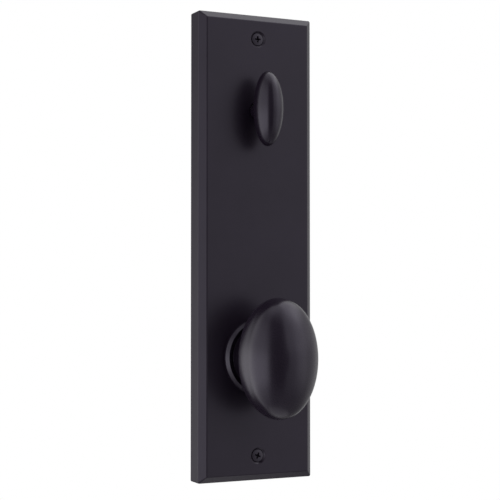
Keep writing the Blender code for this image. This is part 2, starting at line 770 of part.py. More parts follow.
def make_turn_shaft(axis):
    """The shaft: a post in the grip, a journal with the clip's groove, and a slot for the blade."""
    post = TURN_BORE_RADIUS - GAP
    journal = TURN_NECK_RADIUS
    journal_top = TURN_NECK_END - GAP
    groove = journal - TURN_GROOVE_DEPTH
    profile = [
        (0, TURN_SHAFT_END),
        (journal, TURN_SHAFT_END),
        (journal, TURN_GROOVE[0]),
        (groove, TURN_GROOVE[0]),
        (groove, TURN_GROOVE[1]),
        (journal, TURN_GROOVE[1]),
        (journal, journal_top),
        (post, journal_top),
        (post, TURN_BORE_END - GAP),
        (0, TURN_BORE_END - GAP),
    ]
    shaft = piece("turn_shaft", turned(profile, PLAIN), "brass", axis)
    across, along = BLADE_THICKNESS / 2 + GAP, BLADE_WIDTH / 2 + GAP
    slot_heights = (TURN_SHAFT_END - 1 * MM, BLADE_INNER_END + GAP)
    slot = block((-across, across), slot_heights, (-along, along))
    pin_hole = rod(BLADE_PIN_RADIUS + GAP, -journal - 1 * MM, journal + 1 * MM)
    pin_tool = tool(pin_hole, axis, (0, -BLADE_PIN_HEIGHT, 0), ACROSS)
    cut(shaft, tool(slot, axis), pin_tool)
    clip_heights = (TURN_GROOVE[0] + GAP, TURN_GROOVE[1] - GAP)
    clip = arc_block((groove + GAP, TURN_CLIP_RADIUS), clip_heights, (-55, 235), 22)
    piece("turn_retaining_clip", clip, "spring_steel", axis)


def make_blade(axis):
    """The flat blade that turns the deadbolt, and the pin that holds it in the shaft."""
    across, along = BLADE_THICKNESS / 2, BLADE_WIDTH / 2
    mesh = block((-across, across), (BLADE_OUTER_END, BLADE_INNER_END), (-along, along))
    blade = piece("turn_blade", mesh, "zinc_steel", axis)
    reach = TURN_NECK_RADIUS - 0.2 * MM
    here = (0, -BLADE_PIN_HEIGHT, 0)
    cut(blade, tool(rod(BLADE_PIN_RADIUS + GAP, -reach, reach), axis, here, ACROSS))
    piece("turn_blade_pin", rod(BLADE_PIN_RADIUS, -reach, reach), "zinc_steel", axis, here, ACROSS)


def make_turn_bushing(axis):
    """The flanged sleeve that the thumb turn's neck runs in."""
    inner = TURN_NECK_RADIUS + GAP
    low, flange_top, high = 9.5 * MM, BACK_OF_FRONT - GAP, BUSHING_SEAT
    profile = [
        (inner, low),
        (BUSHING_FLANGE_RADIUS, low),
        (BUSHING_FLANGE_RADIUS, flange_top),
        (BUSHING_RADIUS, flange_top),
        (BUSHING_RADIUS, high),
        (inner, high),
    ]
    piece("turn_bushing", turned(profile, PLAIN), "nylon", axis)


def make_wave_washer(axis):
    """The wave washer between the bushing and the clip, which keeps the turn where it is put."""
    inner, outer = TURN_NECK_RADIUS + GAP, 8.6 * MM
    low, high = 7.9 * MM, 8.4 * MM
    profile = [(inner, low), (outer, low), (outer, high), (inner, high)]
    mesh = turned(profile, 36, wave=0.5 * MM)
    piece("turn_wave_washer", mesh, "spring_steel", axis)


def clear_scene():
    for obj in list(bpy.data.objects):
        bpy.data.objects.remove(obj, do_unlink=True)


def build():
    clear_scene()
    knob_axis = axis_empty("knob_axis", KNOB_Z)
    turn_axis = axis_empty("turn_axis", TURN_Z)
    make_plate(knob_axis, turn_axis)
    make_plate_screw("plate_screw_top", SCREW_Z)
    make_plate_screw("plate_screw_bottom", -SCREW_Z)
    make_collar(knob_axis)
    make_knob_bushing(knob_axis)
    make_housing(knob_axis)
    make_cover(knob_axis)
    for number, (x, z) in enumerate(cassette_screw_places(), 1):
        make_cassette_screw(f"cassette_screw_{number}", knob_axis, x, z)
    make_spring(knob_axis)
    make_knob(knob_axis)
    make_shank(knob_axis)
    make_set_screw(knob_axis)
    make_spindle(knob_axis)
    make_cam(knob_axis)
    make_shank_rings(knob_axis)
    make_turn_bushing(turn_axis)
    make_thumb_turn(turn_axis)
    make_turn_shaft(turn_axis)
    make_blade(turn_axis)
    make_wave_washer(turn_axis)


build()
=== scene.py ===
import json
import math

import bmesh
import bpy
from mathutils import Matrix, Vector
from mathutils.geometry import interpolate_bezier

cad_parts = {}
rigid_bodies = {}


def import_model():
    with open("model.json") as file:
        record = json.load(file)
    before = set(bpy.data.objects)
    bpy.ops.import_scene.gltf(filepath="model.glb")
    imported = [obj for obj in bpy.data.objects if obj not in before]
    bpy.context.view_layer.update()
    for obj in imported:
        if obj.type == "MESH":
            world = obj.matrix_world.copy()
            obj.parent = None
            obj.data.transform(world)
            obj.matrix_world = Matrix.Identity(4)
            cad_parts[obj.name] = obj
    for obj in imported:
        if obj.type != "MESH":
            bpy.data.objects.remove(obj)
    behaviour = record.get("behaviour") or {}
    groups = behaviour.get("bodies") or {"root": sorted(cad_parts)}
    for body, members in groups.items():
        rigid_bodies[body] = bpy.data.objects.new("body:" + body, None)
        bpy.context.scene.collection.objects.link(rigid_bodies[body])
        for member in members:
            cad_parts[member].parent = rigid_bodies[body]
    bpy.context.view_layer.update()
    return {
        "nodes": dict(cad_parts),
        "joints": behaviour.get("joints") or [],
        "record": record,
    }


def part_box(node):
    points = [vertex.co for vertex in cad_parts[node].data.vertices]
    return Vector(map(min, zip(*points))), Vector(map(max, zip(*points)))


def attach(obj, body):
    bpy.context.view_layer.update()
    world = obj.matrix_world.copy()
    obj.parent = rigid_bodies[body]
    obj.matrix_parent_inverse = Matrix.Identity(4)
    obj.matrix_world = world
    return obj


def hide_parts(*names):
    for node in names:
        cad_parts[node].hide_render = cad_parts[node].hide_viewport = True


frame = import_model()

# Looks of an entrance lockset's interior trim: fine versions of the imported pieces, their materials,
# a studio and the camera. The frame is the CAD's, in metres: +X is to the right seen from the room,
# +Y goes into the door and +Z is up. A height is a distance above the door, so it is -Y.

record = frame["record"]

MM = 0.001
GAP = 0.3 * MM
HAIR = 0.003 * MM  # lifts a cutter clear of the face that it cuts

# Sizes that the pieces' boxes don't give.
PLATE_BEVEL = 3.8 * MM
PLATE_WALL = 3.0 * MM
PLATE_CORNER = 1.0 * MM
RIB_HALF_HEIGHT = 6.0 * MM
BOSS_RADIUS = 6.5 * MM
COUNTERSINK_RADIUS = 4.65 * MM
SCREW_HOLE_RADIUS = 2.5 * MM
SCREW_SHANK_RADIUS = 2.1 * MM
SCREW_THREAD_DEPTH = 0.55 * MM
SCREW_PITCH = 1.8 * MM
POST_RADIUS = 3.2 * MM
CASSETTE_SCREW_RADIUS = 1.3 * MM
CASSETTE_SCREW_END = 10.1 * MM
# The knob's profile from the nose to the back: the share of the full width, the height above the
# plate's front, and how many degrees the surface faces away from the axis.
KNOB_PROFILE = (
    (0.0, 47.6 * MM, 0),
    (0.24, 46.8 * MM, 17),
    (0.76, 40.1 * MM, 46),
    (0.91, 35.6 * MM, 66),
    (0.98, 27.5 * MM, 83),
    (1.0, 21.0 * MM, 90),
    (0.975, 17.9 * MM, 122),
    (0.60, 8.8 * MM, 142),
)
# Behind this height the egg's top and bottom draw in more than its sides do.
KNOB_TAPER_START = 27.5 * MM
KNOB_TAPER_LENGTH = 14.5 * MM
KNOB_TAPER = 0.09
KNOB_BORE_RADIUS = 8.9 * MM
COLLAR_CHAMFER = (1.5 * MM, 2.2 * MM)  # across and along the axis
COLLAR_LIP = 0.3 * MM
COLLAR_DISH = 2.0 * MM
COLLAR_SPIGOT_RADIUS = 15.7 * MM
COLLAR_BORE_RADIUS = 13.0 * MM
SHANK_RADIUS = 11.0 * MM
SHANK_GROOVE = (-1.4 * MM, 0.0)
SHANK_GROOVE_RADIUS = SHANK_RADIUS - 0.8 * MM
SET_SCREW_HEIGHT = 6.3 * MM  # above the plate's front
KEY_DEPTH = 1.5 * MM
KEY_HALF_WIDTH = 1.5 * MM
CAM_RING_RADIUS = 13.0 * MM
CAM_ARM_RADIUS = 15.3 * MM
CAM_ARM_HALF_ANGLE = 15.0
HOUSING_WALL = 1.2 * MM
STOP_ANGLE = 76.5
STOP_WIDTH_ANGLE = 10.0
EAR_RADIUS = 4.2 * MM
SPRING_RADIUS = 12.6 * MM
SPRING_LEG_RADIUS = 14.5 * MM
SPRING_LEG_ANGLE = 21.0
SPRING_TURNS = 3
SPRING_PITCH = 1.3 * MM
SPRING_WIRE_RADIUS = 0.55 * MM
TURN_NECK_RADIUS = 5.0 * MM
TURN_NOSE = 11.3 * MM
TURN_REAR = 6.2 * MM
TURN_BORE_RADIUS = 3.3 * MM
TURN_GROOVE_RADIUS = TURN_NECK_RADIUS - 0.9 * MM
BUSHING_RADIUS = 7.0 * MM
PIN_RADIUS = 0.8 * MM

FINE = 128  # segments round the pieces that show
PLAIN = 96
SMALL = 40
SMOOTH_ANGLE = math.radians(32)


# ---- Where the frame puts things ----


def half_width(node):
    low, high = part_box(node)
    return (high.x - low.x) / 2


def half_height(node):
    low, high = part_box(node)
    return (high.z - low.z) / 2


def middle(node):
    low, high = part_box(node)
    return (low + high) / 2


def front(node):
    """How high above the door the node's room side is."""
    return -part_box(node)[0].y


def back(node):
    """How high above the door the node's door side is."""
    return -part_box(node)[1].y


def joint_place(name):
    return next(Vector(joint["pos_m"]) for joint in frame["joints"] if joint["name"] == name)


KNOB_AXIS = joint_place("knob_rotation")
TURN_AXIS = joint_place("thumb_turn_rotation")
PLATE_FRONT = front("escutcheon_plate")
PLATE_INSIDE = PLATE_FRONT - PLATE_WALL


# ---- Meshes, each about its own axis, which is the local Y axis ----


def mesh_from(bm):
    bmesh.ops.recalc_face_normals(bm, faces=bm.faces)
    mesh = bpy.data.meshes.new("mesh")
    bm.to_mesh(mesh)
    bm.free()
    return mesh


def bridge(bm, first, second):
    """Faces between two rows of vertices that run round an axis. A row may be a single pole."""
    count = max(len(first), len(second))
    for i in range(count):
        j = (i + 1) % count
        corners = [first[i % len(first)], first[j % len(first)]]
        corners += [second[j % len(second)], second[i % len(second)]]
        bm.faces.new(list(dict.fromkeys(corners)))


def skin(rows, looped=False):
    """A closed skin over rows of points. The end rows get a flat face, unless the rows loop."""
    bm = bmesh.new()
    rows = [[bm.verts.new(p) for p in row] for row in rows]
    for first, second in zip(rows, rows[1:]):
        bridge(bm, first, second)
    if looped:
        bridge(bm, rows[-1], rows[0])
    else:
        for row in (rows[0], rows[-1]):
            if len(row) > 2:
                bm.faces.new(row)
    return mesh_from(bm)


def eased(profile, closed=True, steps=5):
    """A profile of (a, b) or (a, b, radius) points, with each corner that has a radius rounded."""
    count = len(profile)
    points = []
    for i, corner in enumerate(profile):
        here = Vector(corner[:2])
        radius = corner[2] if len(corner) > 2 else 0
        if radius == 0 or (not closed and i in (0, count - 1)):
            points.append(tuple(here))
            continue
        before = Vector(profile[i - 1][:2]) - here
        after = Vector(profile[(i + 1) % count][:2]) - here
        half = before.angle(after) / 2
        reach = min(radius / math.tan(half), 0.49 * before.length, 0.49 * after.length)
        start, end = here + before.normalized() * reach, here + after.normalized() * reach
        for k in range(steps + 1):
            t = k / steps
            point = start * (1 - t) ** 2 + here * 2 * t * (1 - t) + end * t**2
            points.append(tuple(point))
    return points


def turned(profile, segments, warp=None):
    """A profile of (radius, height) points turned about the axis. It is solid if it starts and ends
    on the axis, and a ring if it stays clear of it. A warp(radius, height, degrees) may shift each
    point on the way round."""
    rows = []
    for radius, height in profile:
        if radius <= 0:
            rows.append([(0, -height, 0)])
            continue
        row = []
        for i in range(segments):
            degrees = 360 * i / segments
            r, h = warp(radius, height, degrees) if warp else (radius, height)
            a = math.radians(degrees)
            row.append((r * math.cos(a), -h, r * math.sin(a)))
        rows.append(row)
    return skin(rows, looped=profile[0][0] > 0)


def oval(sections, segments):
    """A skin over oval sections (half width, half height, height), with a pole where one is 0."""
    rows = []
    for half_x, half_z, height in sections:
        angles = [2 * math.pi * i / segments for i in range(segments if half_x > 0 else 1)]
        rows.append([(half_x * math.cos(a), -height, half_z * math.sin(a)) for a in angles])
    return skin(rows)


def rod(radius, low, high, segments=SMALL):
    return turned([(0, low), (radius, low), (radius, high), (0, high)], segments)


def block(x, height, z):
    """A box between (low, high) pairs across, above the door, and upwards."""
    corners = [(x[0], z[0]), (x[1], z[0]), (x[1], z[1]), (x[0], z[1])]
    return skin([[(cx, -h, cz) for cx, cz in corners] for h in height])


def arc_block(radius, height, angle, segments):
    """A piece of a flat ring between (low, high) pairs of radius, height and angle in degrees."""
    rows = []
    for i in range(segments + 1):
        a = math.radians(angle[0] + (angle[1] - angle[0]) * i / segments)
        corners = [(radius[0], height[0]), (radius[0], height[1])]
        corners += [(radius[1], height[1]), (radius[1], height[0])]
        rows.append([(r * math.cos(a), -h, r * math.sin(a)) for r, h in corners])
    return skin(rows)


def cross(length, width, top, bottom, taper):
    """A tapering cross, the shape of a cross recess, with a pointed floor."""
    rows = []
    for height, scale in ((top, 1.0), (bottom, taper)):
        a, b = length * scale, width * scale
        quarter = [(a, -b), (a, b), (b, b)]
        row = []
        for k in range(4):
            c, s = round(math.cos(k * math.pi / 2)), round(math.sin(k * math.pi / 2))
            row += [(px * c - pz * s, -height, px * s + pz * c) for px, pz in quarter]
        rows.append(row)
    floor = bottom + (bottom - top) * 0.25
    return skin(rows + [[(0, -floor, 0)]])


def moved(mesh, x=0.0, z=0.0, height=0.0, rotation=None):
    """The mesh turned by a rotation matrix, then shifted."""
    if rotation is not None:
        mesh.transform(rotation)
    mesh.transform(Matrix.Translation((x, -height, z)))
    return mesh


def combined(mesh, operation, tools):
    """The mesh with the tools cut out of it (DIFFERENCE) or joined to it (UNION)."""
    group = bpy.data.collections.new("tools")
    bpy.context.scene.collection.children.link(group)
    target = bpy.data.objects.new("target", mesh)
    bpy.context.scene.collection.objects.link(target)
    for tool in tools:
        group.objects.link(bpy.data.objects.new("tool", tool))
    modifier = target.modifiers.new(operation.lower(), "BOOLEAN")
    modifier.operation = operation
    modifier.solver = "EXACT"
    modifier.operand_type = "COLLECTION"
    modifier.collection = group
    depsgraph = bpy.context.evaluated_depsgraph_get()
    result = bpy.data.meshes.new_from_object(target.evaluated_get(depsgraph))
    for obj in [target, *group.objects]:
        bpy.data.objects.remove(obj)
    bpy.data.collections.remove(group)
    return result


def cut(mesh, *tools):
    return combined(mesh, "DIFFERENCE", tools)


def joined(mesh, *tools):
    return combined(mesh, "UNION", tools)


def softened(mesh, width, segments=2):
    """The mesh with its sharp edges rounded over."""
    bm = bmesh.new()
    bm.from_mesh(mesh)
    edges = [e for e in bm.edges if e.calc_face_angle(0) > math.radians(35)]
    bmesh.ops.bevel(
        bm, geom=edges, offset=width, segments=segments, profile=0.5, affect="EDGES",
        clamp_overlap=True,
    )
    return mesh_from(bm)


DOWN = Matrix.Rotation(math.radians(90), 4, "X")  # turns the local Y axis to point along Z
ACROSS = Matrix.Rotation(math.radians(90), 4, "Z")  # turns the local Y axis to point along X


def about_axis(degrees):
    return Matrix.Rotation(math.radians(degrees), 4, "Y")


# ---- Materials ----


def add(tree, kind, inputs=None, **settings):
    """A new node with its settings, and its inputs linked or set."""
    node = tree.nodes.new(kind)
    for name, value in settings.items():
        setattr(node, name, value)
    for name, value in (inputs or {}).items():
        if isinstance(value, bpy.types.NodeSocket):
            tree.links.new(value, node.inputs[name])
        else:
            node.inputs[name].default_value = value
    return node


def noise(tree, place, scale, detail=2.0, stretch=(1, 1, 1)):
    """A noise from 0 to 1, with features about 1 / scale metres wide."""
    mapping = add(tree, "ShaderNodeMapping", {"Vector": place, "Scale": stretch})
    inputs = {"Vector": mapping.outputs[0], "Scale": scale, "Detail": detail}
    return add(tree, "ShaderNodeTexNoise", inputs).outputs[0]


def spread(tree, value, low, high, start=0.3, end=0.7):
    """A noise spread over a range of values."""
    inputs = {"Value": value, "From Min": start, "From Max": end, "To Min": low, "To Max": high}
    return add(tree, "ShaderNodeMapRange", inputs).outputs[0]


def tint(tree, value, dark, light):
    """A colour between two, by a value from 0 to 1."""
    ramp = add(tree, "ShaderNodeValToRGB", {0: value})
    ramp.color_ramp.elements[0].position = 0.3
    ramp.color_ramp.elements[0].color = (*dark, 1)
    ramp.color_ramp.elements[1].position = 0.7
    ramp.color_ramp.elements[1].color = (*light, 1)
    return ramp.outputs[0]


def bump(tree, height, distance, under=None):
    """Relief of a depth in metres, over any relief under it."""
    inputs = {"Height": height, "Distance": distance, "Strength": 1.0}
    if under is not None:
        inputs["Normal"] = under
    return add(tree, "ShaderNodeBump", inputs).outputs[0]


def new_material(name, **constants):
    """A material with its shader's constant values, its tree, its shader and object coordinates."""
    material = bpy.data.materials.new(name)
    material.use_nodes = True
    tree = material.node_tree
    shader = tree.nodes["Principled BSDF"]
    for socket, value in constants.items():
        shader.inputs[socket.replace("_", " ")].default_value = value
    place = add(tree, "ShaderNodeTexCoord").outputs["Object"]
    return material, tree, shader, place


def black_paint(name, dark, light, roughness, specular=0.5):
    """Baked satin black over smooth metal: faint orange peel, fine grain and a soft mottle."""
    violet = (0.88, 0.83, 1.0, 1.0)
    constants = {"IOR": 1.5, "Specular_Tint": violet, "Specular_IOR_Level": specular}
    material, tree, shader, place = new_material(name, **constants)
    patches = noise(tree, place, 45, 3)
    peel = noise(tree, place, 700, 2)
    grain = noise(tree, place, 5200, 2)
    colour = tint(tree, patches, dark, light)
    gloss = spread(tree, grain, roughness - 0.03, roughness + 0.03)
    relief = bump(tree, grain, 0.0012 * MM, bump(tree, peel, 0.010 * MM))
    tree.links.new(colour, shader.inputs["Base Color"])
    tree.links.new(gloss, shader.inputs["Roughness"])
    tree.links.new(relief, shader.inputs["Normal"])
    return material


def plated_steel(name, dark, light, roughness, stretch):
    """Plated steel: drawn lines along the grain, and clouds in the plating."""
    material, tree, shader, place = new_material(name, Metallic=1.0)
    clouds = noise(tree, place, 260, 4)
    lines = noise(tree, place, 1500, 3, stretch)
    colour = tint(tree, clouds, dark, light)
    gloss = spread(tree, lines, roughness - 0.08, roughness + 0.1)
    relief = bump(tree, lines, 0.006 * MM)
    tree.links.new(colour, shader.inputs["Base Color"])
    tree.links.new(gloss, shader.inputs["Roughness"])
    tree.links.new(relief, shader.inputs["Normal"])
    return material


def turned_brass(name):
    """Turned brass: rings of tool marks round the axis, with a little tarnish."""
    material, tree, shader, place = new_material(name, Metallic=1.0)
    clouds = noise(tree, place, 190, 4)
    ring_inputs = {"Vector": place, "Scale": 900, "Distortion": 0.6, "Detail": 1.0}
    rings = add(
        tree, "ShaderNodeTexWave", ring_inputs, wave_type="RINGS", rings_direction="Y"
    ).outputs[1]
    colour = tint(tree, clouds, (0.42, 0.27, 0.09), (0.66, 0.48, 0.20))
    gloss = spread(tree, clouds, 0.36, 0.22)
    relief = bump(tree, rings, 0.003 * MM)
    tree.links.new(colour, shader.inputs["Base Color"])
    tree.links.new(gloss, shader.inputs["Roughness"])
    tree.links.new(relief, shader.inputs["Normal"])
    return material


def moulded_nylon(name):
    """Natural nylon: milky, faintly mottled, with a fine moulded grain."""
    material, tree, shader, place = new_material(name, Subsurface_Weight=0.15)
    shader.inputs["Subsurface Scale"].default_value = 1 * MM
    clouds = noise(tree, place, 150, 3)
    grain = noise(tree, place, 3000, 2)
    colour = tint(tree, clouds, (0.68, 0.66, 0.58), (0.79, 0.78, 0.72))
    gloss = spread(tree, grain, 0.42, 0.55)
    relief = bump(tree, grain, 0.004 * MM)
    tree.links.new(colour, shader.inputs["Base Color"])
    tree.links.new(gloss, shader.inputs["Roughness"])
    tree.links.new(relief, shader.inputs["Normal"])
    return material


PAINT_DARK, PAINT_LIGHT = (0.0085, 0.0052, 0.0110), (0.0115, 0.0075, 0.0150)
MATERIALS = {
    "satin_black": black_paint("satin_black_paint", PAINT_DARK, PAINT_LIGHT, 0.26),
    "black_screw": black_paint("black_screw_finish", PAINT_DARK, PAINT_LIGHT, 0.33),
    "zinc_steel": plated_steel(
        "zinc_plate", (0.44, 0.45, 0.48), (0.60, 0.61, 0.62), 0.34, (1, 0.06, 1)
    ),
    "spring_steel": plated_steel(
        "spring_steel_oiled", (0.22, 0.22, 0.25), (0.36, 0.36, 0.38), 0.30, (0.2, 1, 1)
    ),
    "brass": turned_brass("turned_brass"),
    "nylon": moulded_nylon("moulded_nylon"),
}
# The broad flat plate is a little less glossy than the handled pieces.
PLATE_PAINT = black_paint("satin_black_plate_paint", PAINT_DARK, PAINT_LIGHT, 0.32, 0.41)
BODY_OF = {node: body for body, nodes in record["behaviour"]["bodies"].items() for node in nodes}
SLOT_OF = {part["node"]: part["material_slot"] for part in record["subparts"]}


def finished(node, data, at=(0, 0, 0)):
    """The fine piece that stands for a CAD node, with the node's body and material slot."""
    slot = SLOT_OF[node]
    data.materials.clear()
    data.materials.append(PLATE_PAINT if node == "escutcheon_plate" else MATERIALS[slot])
    obj = bpy.data.objects.new(node + "_finished", data)
    obj.location = at
    bpy.context.scene.collection.objects.link(obj)
    if obj.type == "MESH":
        data.shade_smooth()
        data.set_sharp_from_angle(angle=SMOOTH_ANGLE)
        normals = obj.modifiers.new("flat_faces_stay_flat", "WEIGHTED_NORMAL")
        normals.keep_sharp = True
    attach(obj, BODY_OF[node])
    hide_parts(node)
    return obj


# ---- Escutcheon and its screws ----


def rectangle(half_x, half_z, corner, steps=6):
    """A rectangle with rounded corners, as (x, z) points."""
    points = []
    for k, (sx, sz) in enumerate(((1, 1), (-1, 1), (-1, -1), (1, -1))):
        for i in range(steps + 1):
            a = math.radians(90 * k + 90 * i / steps)
            x = sx * (half_x - corner) + corner * math.cos(a)
            z = sz * (half_z - corner) + corner * math.sin(a)
            points.append((x, z))
    return points


def prism(profile, half_x, half_z, corner):
    """A rounded rectangle that is inset and raised along a profile of (inset, height) points. Its
    corners keep getting tighter with the inset."""
    rows = []
    for inset, height in profile:
        tight = max(corner - 0.15 * inset, 0.25 * MM)
        points = rectangle(half_x - inset, half_z - inset, tight)
        rows.append([(x, -height, z) for x, z in points])
    return skin(rows)


def post_places():
    """Where the cassette's screws stand round the knob's axis, as (x, z)."""
    return [(middle(node).x, middle(node).z) for node in cassette_screws()]


def cassette_screws():
    return sorted(node for node in frame["nodes"] if node.startswith("cassette_screw_"))


def plate_screws():
    return sorted(node for node in frame["nodes"] if node.startswith("plate_screw_"))


def rounded_hole(radius, low, top, lip, countersink=None):
    """A cutter for a hole whose upper edge is rounded, and coned if it has a countersink."""
    beyond = top + 1 * MM
    if countersink is None:
        wall = [(0, low), (radius, low), (radius, top + HAIR, lip)]
        rim = radius
    else:
        wall = [(0, low), (radius, low), (radius, top - countersink + radius, 0.3 * MM)]
        wall.append((countersink, top + HAIR, lip))
        rim = countersink
    outside = [(rim + 1 * MM, top + HAIR), (rim + 1 * MM, beyond), (0, beyond)]
    return turned(eased(wall + outside, closed=False), FINE)


def make_plate():
    half_x, half_z = half_width("escutcheon_plate"), half_height("escutcheon_plate")
    shape = [
        (0.4 * MM, 0),
        (0, 0.4 * MM, 0.3 * MM),
        (0, PLATE_FRONT - PLATE_BEVEL, 0.9 * MM),
        (PLATE_BEVEL, PLATE_FRONT, 1.1 * MM),
        (PLATE_BEVEL + 1.5 * MM, PLATE_FRONT),
    ]
    plate = prism(eased(shape, closed=False), half_x, half_z, PLATE_CORNER)
    side, end = half_x - PLATE_WALL, half_z - PLATE_WALL
    below, ledge = -1 * MM, 0.8 * MM
    hollow = eased([(0, below), (0, PLATE_INSIDE, ledge), (ledge * 3, PLATE_INSIDE)], closed=False)
    tools = []
    for sign in (1, -1):
        mesh = prism(hollow, side, (end - RIB_HALF_HEIGHT) / 2, 1.5 * MM)
        tools.append(moved(mesh, z=sign * (end + RIB_HALF_HEIGHT) / 2))
    plate = cut(plate, *tools)
    inside = PLATE_INSIDE + 0.4 * MM
    bosses = []
    for node in plate_screws():
        boss = [(0, 0), (BOSS_RADIUS, 0, 0.3 * MM), (BOSS_RADIUS, inside), (0, inside)]
        bosses.append(moved(turned(eased(boss, closed=False), PLAIN), z=middle(node).z))
    for x, z in post_places():
        low = back("spring_housing")
        bosses.append(moved(rod(POST_RADIUS, low, inside), x, z))
    plate = joined(plate, *bosses)
    holes = []
    for node in plate_screws():
        hole = rounded_hole(SCREW_HOLE_RADIUS, below, PLATE_FRONT, 0.35 * MM, COUNTERSINK_RADIUS)
        holes.append(moved(hole, z=middle(node).z))
    for x, z in post_places():
        hole = rod(CASSETTE_SCREW_RADIUS + GAP, below, CASSETTE_SCREW_END + GAP)
        holes.append(moved(hole, x, z))
    low = PLATE_INSIDE - 1 * MM
    collar_hole = rod(COLLAR_SPIGOT_RADIUS + GAP, low, PLATE_FRONT + 1 * MM, FINE)
    holes.append(moved(collar_hole, z=KNOB_AXIS.z))
    neck = TURN_NECK_RADIUS + GAP
    seat = front("turn_bushing") + GAP
    holes.append(moved(rod(BUSHING_RADIUS + GAP, low, seat), z=TURN_AXIS.z))
    holes.append(moved(rounded_hole(neck, seat - 0.1 * MM, PLATE_FRONT, 0.3 * MM), z=TURN_AXIS.z))
    finished("escutcheon_plate", cut(plate, *holes))


def make_plate_screw(node, turn):
    """An oval-head wood screw with a cross recess and a real thread."""
    head = half_width(node)
    tip = back(node)
    crown = front(node)
    rim = PLATE_FRONT - COUNTERSINK_RADIUS + head + GAP
    neck = rim - head + SCREW_SHANK_RADIUS
    thread_end = neck - 5 * MM
    taper = 5 * MM

    def thread(radius, height, degrees):
        if height > thread_end + SCREW_PITCH or radius < 0.1 * MM:
            return radius, height
        fade = min(1, (thread_end + SCREW_PITCH - height) / SCREW_PITCH, (height - tip) / taper)
        phase = (height / SCREW_PITCH + degrees / 360) % 1
        ridge = max(0, 1 - abs(phase - 0.5) * 4)
        return radius + SCREW_THREAD_DEPTH * ridge * fade, height

    root = SCREW_SHANK_RADIUS - SCREW_THREAD_DEPTH
    rows = 10 * round((thread_end + SCREW_PITCH - tip) / SCREW_PITCH)
    profile = [(0, tip)]
    for i in range(1, rows + 1):
        height = tip + (thread_end + SCREW_PITCH - tip) * i / rows
        profile.append((root * min(1, (height - tip) / taper + 0.05), height))
    profile += eased(
        [
            (SCREW_SHANK_RADIUS, thread_end + SCREW_PITCH + 0.6 * MM),
            (SCREW_SHANK_RADIUS, neck, 0.5 * MM),
            (head, rim, 0.15 * MM),
            (head * 0.985, rim + 0.12 * MM),
            (head * 0.62, crown - 0.16 * MM, 1.2 * MM),
            (0, crown),
        ],
        closed=False,
    )
    screw = turned(profile, 36, thread)
    recess = cross(2.05 * MM, 0.52 * MM, crown + 0.3 * MM, rim - 1.3 * MM, 0.5)
    centre = rod(0.95 * MM, rim - 0.9 * MM, crown + 0.3 * MM, 24)
    screw = cut(screw, recess, centre)
    finished(node, moved(screw, rotation=about_axis(turn)), (0, 0, middle(node).z))


# ---- Knob: grip, shank, collar and bushing ----


def profile_points(knots, widest, steps):
    """(half width, height) points on smooth arcs through (share, height, facing) knots."""
    arm = 0.36
    places, ways = [], []
    for share, height, facing in knots:
        a = math.radians(facing)
        places.append(Vector((share * widest, height)))
        ways.append(Vector((math.cos(a), -math.sin(a))))
    points = []
    for i in range(len(knots) - 1):
        start, end = places[i], places[i + 1]
        reach = arm * (end - start).length
        leave, arrive = start + reach * ways[i], end - reach * ways[i + 1]
        points += interpolate_bezier(start, leave, arrive, end, steps + 1)[:-1]
    return points + [places[-1]]


def make_knob():
    """The egg from its nose to its back, with an eased back edge, and the bore for the shank."""
    node = "egg_knob"
    half_x = half_width(node)
    edge = 1.0 * MM
    points = [tuple(p) for p in profile_points(KNOB_PROFILE, half_x, 12)]
    inner = (points[-1][0] - 3 * edge, points[-1][1])
    outline = eased([*points[:-1], (*points[-1], edge), inner], closed=False)[:-1]
    heights = []
    for half, height in outline:
        behind = min(max((KNOB_TAPER_START - height) / KNOB_TAPER_LENGTH, 0), 1)
        heights.append(half * (1 - KNOB_TAPER * behind**2 * (3 - 2 * behind)))
    ratio = half_height(node) / max(heights)
    sections = []
    for (half, height), tall in zip(outline, heights):
        sections.append((half, tall * ratio, PLATE_FRONT + height))
    bore_end = front("knob_shank") + GAP
    bore = [(KNOB_BORE_RADIUS, back(node)), (KNOB_BORE_RADIUS, bore_end), (0, bore_end)]
    sections += [(r, r, h) for r, h in bore]
    finished(node, oval(sections, FINE), KNOB_AXIS)


